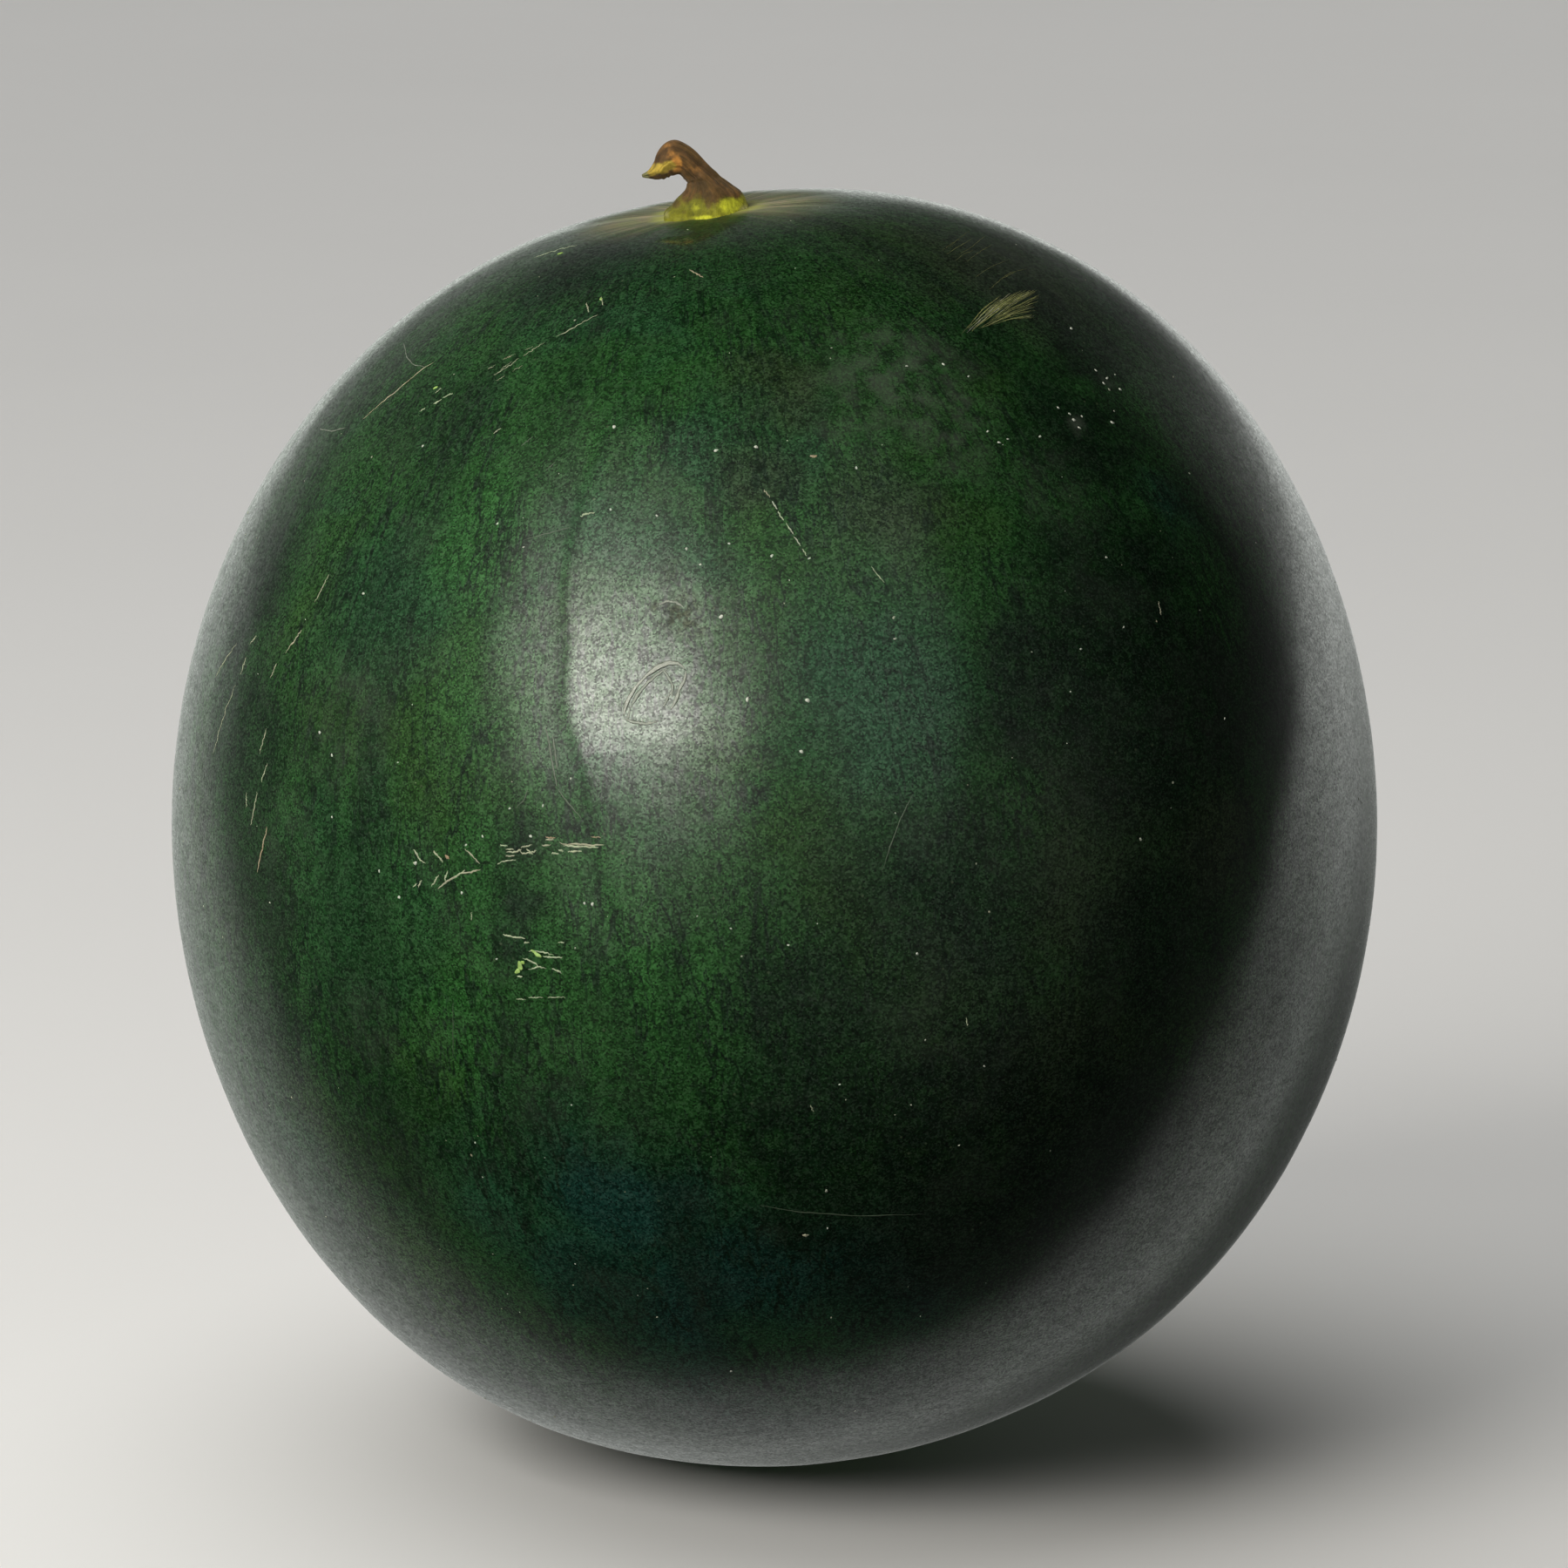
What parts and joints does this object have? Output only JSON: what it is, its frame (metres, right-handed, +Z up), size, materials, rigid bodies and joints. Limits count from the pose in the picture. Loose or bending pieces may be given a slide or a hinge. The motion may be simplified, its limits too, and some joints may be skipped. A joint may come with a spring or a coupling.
{
  "type": "watermelon",
  "caption": "Whole round watermelon with dark green skin and the dried stub of its stem, standing upright on a small flat spot.",
  "frame": {"origin": "on the surface that the fruit stands on, at the middle of its flat spot, below the middle of its belt", "axes": "+Z up towards the stem end; -Y is the side that faces the viewer; the dried stem droops towards -X"},
  "size_m": [0.2103, 0.2095, 0.2301],
  "materials": {
    "rind": null,
    "dry_stem": "dried woody stem, brown, with a yellow-green foot and an ochre torn end"
  },
  "bodies": {
    "root": {"fruit": "rind", "stem": "dry_stem"}
  },
  "joints": []
}
